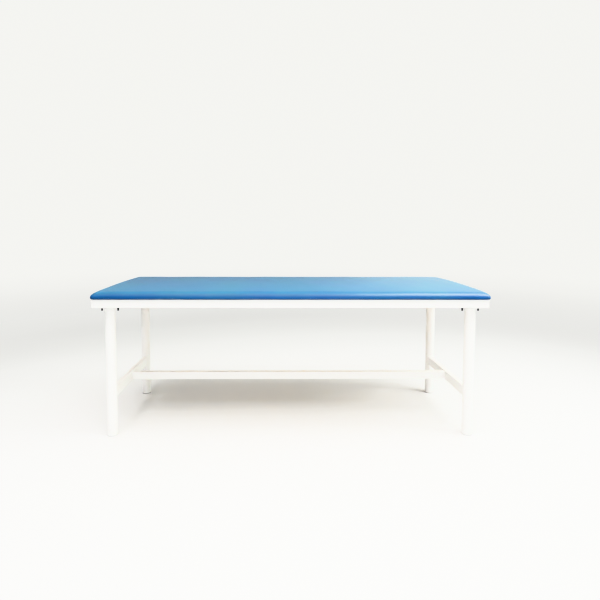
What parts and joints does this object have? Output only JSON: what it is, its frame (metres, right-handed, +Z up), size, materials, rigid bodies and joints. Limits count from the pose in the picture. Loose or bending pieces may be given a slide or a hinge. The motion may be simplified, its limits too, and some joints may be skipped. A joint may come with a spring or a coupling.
{
  "type": "examination table",
  "caption": "Flat examination table: a thin padded top on a steel frame, round legs on bolted flanges, and rectangular stretchers that form an H near the floor.",
  "frame": {"origin": "on the floor under the middle of the table", "axes": "+X along the table's length, +Y across it to the rear, +Z up"},
  "size_m": [1.9, 0.7, 0.724],
  "materials": {
    "blue_cover": "smooth blue leather-look cover with a soft gloss",
    "foam": "open-cell polyurethane foam",
    "board": "bare plywood",
    "white_paint": "white powder coat, semi-gloss",
    "black_steel": "black oxide",
    "zinc": "bright zinc plate",
    "foot_plastic": "moulded light grey plastic"
  },
  "bodies": {
    "root": {"pad_cover": "blue_cover", "foam_pad": "foam", "top_board": "board", "cover_staples": "zinc", "board_screws": "zinc", "board_screw_washers": "zinc", "board_tee_nuts": "zinc", "front_rail": "white_paint", "rear_rail": "white_paint", "left_end_rail": "white_paint", "right_end_rail": "white_paint", "rail_end_plates": "white_paint", "left_cross_bar": "white_paint", "middle_cross_bar": "white_paint", "right_cross_bar": "white_paint", "front_left_corner_plate": "white_paint", "front_right_corner_plate": "white_paint", "rear_left_corner_plate": "white_paint", "rear_right_corner_plate": "white_paint", "flange_studs": "black_steel", "flange_nuts": "black_steel", "flange_washers": "black_steel", "front_left_flange": "white_paint", "front_right_flange": "white_paint", "rear_left_flange": "white_paint", "rear_right_flange": "white_paint", "front_left_leg": "white_paint", "front_right_leg": "white_paint", "rear_left_leg": "white_paint", "rear_right_leg": "white_paint", "front_left_foot_cap": "foot_plastic", "front_right_foot_cap": "foot_plastic", "rear_left_foot_cap": "foot_plastic", "rear_right_foot_cap": "foot_plastic", "left_end_stretcher": "white_paint", "right_end_stretcher": "white_paint", "long_stretcher": "white_paint", "stretcher_end_plates": "white_paint", "stretcher_weld_nuts": "zinc", "stretcher_bolts": "black_steel", "stretcher_washers": "black_steel", "stretcher_sleeves": "zinc"}
  },
  "joints": []
}
